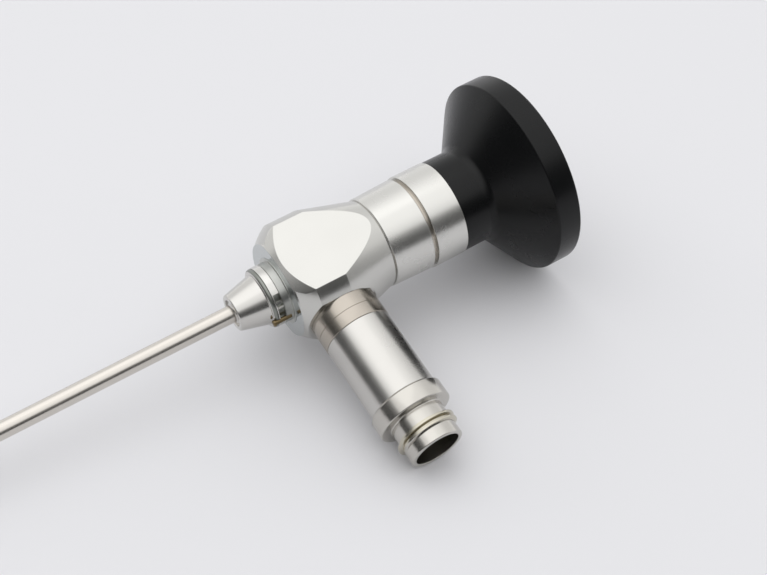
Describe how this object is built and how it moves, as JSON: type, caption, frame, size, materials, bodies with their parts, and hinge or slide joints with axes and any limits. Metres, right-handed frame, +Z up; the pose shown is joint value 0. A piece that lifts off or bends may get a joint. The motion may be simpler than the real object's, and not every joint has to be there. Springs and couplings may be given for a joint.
{
  "type": "ear endoscope",
  "caption": "Rigid ear endoscope: thin straight metal shaft, turned metal body with flats, side light post with threaded mouth, and a black funnel eyepiece.",
  "frame": {"origin": "centre of the bounding box at the level of the table the instrument lies on", "axes": "+Z up from the table; +X level, along the shaft towards the eyepiece; the light post leans down along -Y"},
  "size_m": [0.1636, 0.0498, 0.0321],
  "materials": {
    "shaft_steel": "drawn tube, fine polish, warm tone",
    "inner_steel": "plain drawn or turned",
    "socket_steel": "turned, polished",
    "ring_steel": "turned, bright",
    "body_steel": "turned and milled, polished",
    "base_steel": "turned, satin, brownish",
    "post_steel": "turned, polished",
    "spigot_steel": "turned, polished",
    "barrel_steel": "turned, polished",
    "brass": "turned, dull",
    "cup_black": "moulded, matt",
    "black_aluminium": "black anodised",
    "optical_glass": "polished, coated",
    "fibre": "bundled glass fibres, ends ground",
    "rubber": "moulded"
  },
  "bodies": {
    "root": {"body_housing": "body_steel", "distal_window": "optical_glass", "eyepiece_cup": "cup_black", "eyepiece_window": "optical_glass", "fibre_bundle": "fibre", "field_spacer": "black_aluminium", "field_stop": "black_aluminium", "front_barrel": "barrel_steel", "groove_seal": "base_steel", "light_ferrule": "inner_steel", "light_fibres": "fibre", "light_taper": "fibre", "lock_bars": "ring_steel", "lock_pin": "brass", "lock_ring": "ring_steel", "objective_lens": "optical_glass", "ocular_cell": "black_aluminium", "ocular_lens_front": "optical_glass", "ocular_lens_rear": "optical_glass", "ocular_retainer": "black_aluminium", "ocular_spacer": "black_aluminium", "optic_tube": "inner_steel", "post_base_ring": "base_steel", "post_sleeve": "post_steel", "post_spigot": "spigot_steel", "rear_barrel": "barrel_steel", "rod_lens_1": "optical_glass", "rod_lens_2": "optical_glass", "rod_lens_3": "optical_glass", "rod_lens_4": "optical_glass", "rod_spacer_1": "inner_steel", "rod_spacer_2": "inner_steel", "rod_spacer_3": "inner_steel", "rod_spacer_4": "inner_steel", "shaft_socket": "socket_steel", "shaft_tube": "shaft_steel", "socket_seal": "rubber", "window_ring": "black_aluminium"}
  },
  "joints": []
}
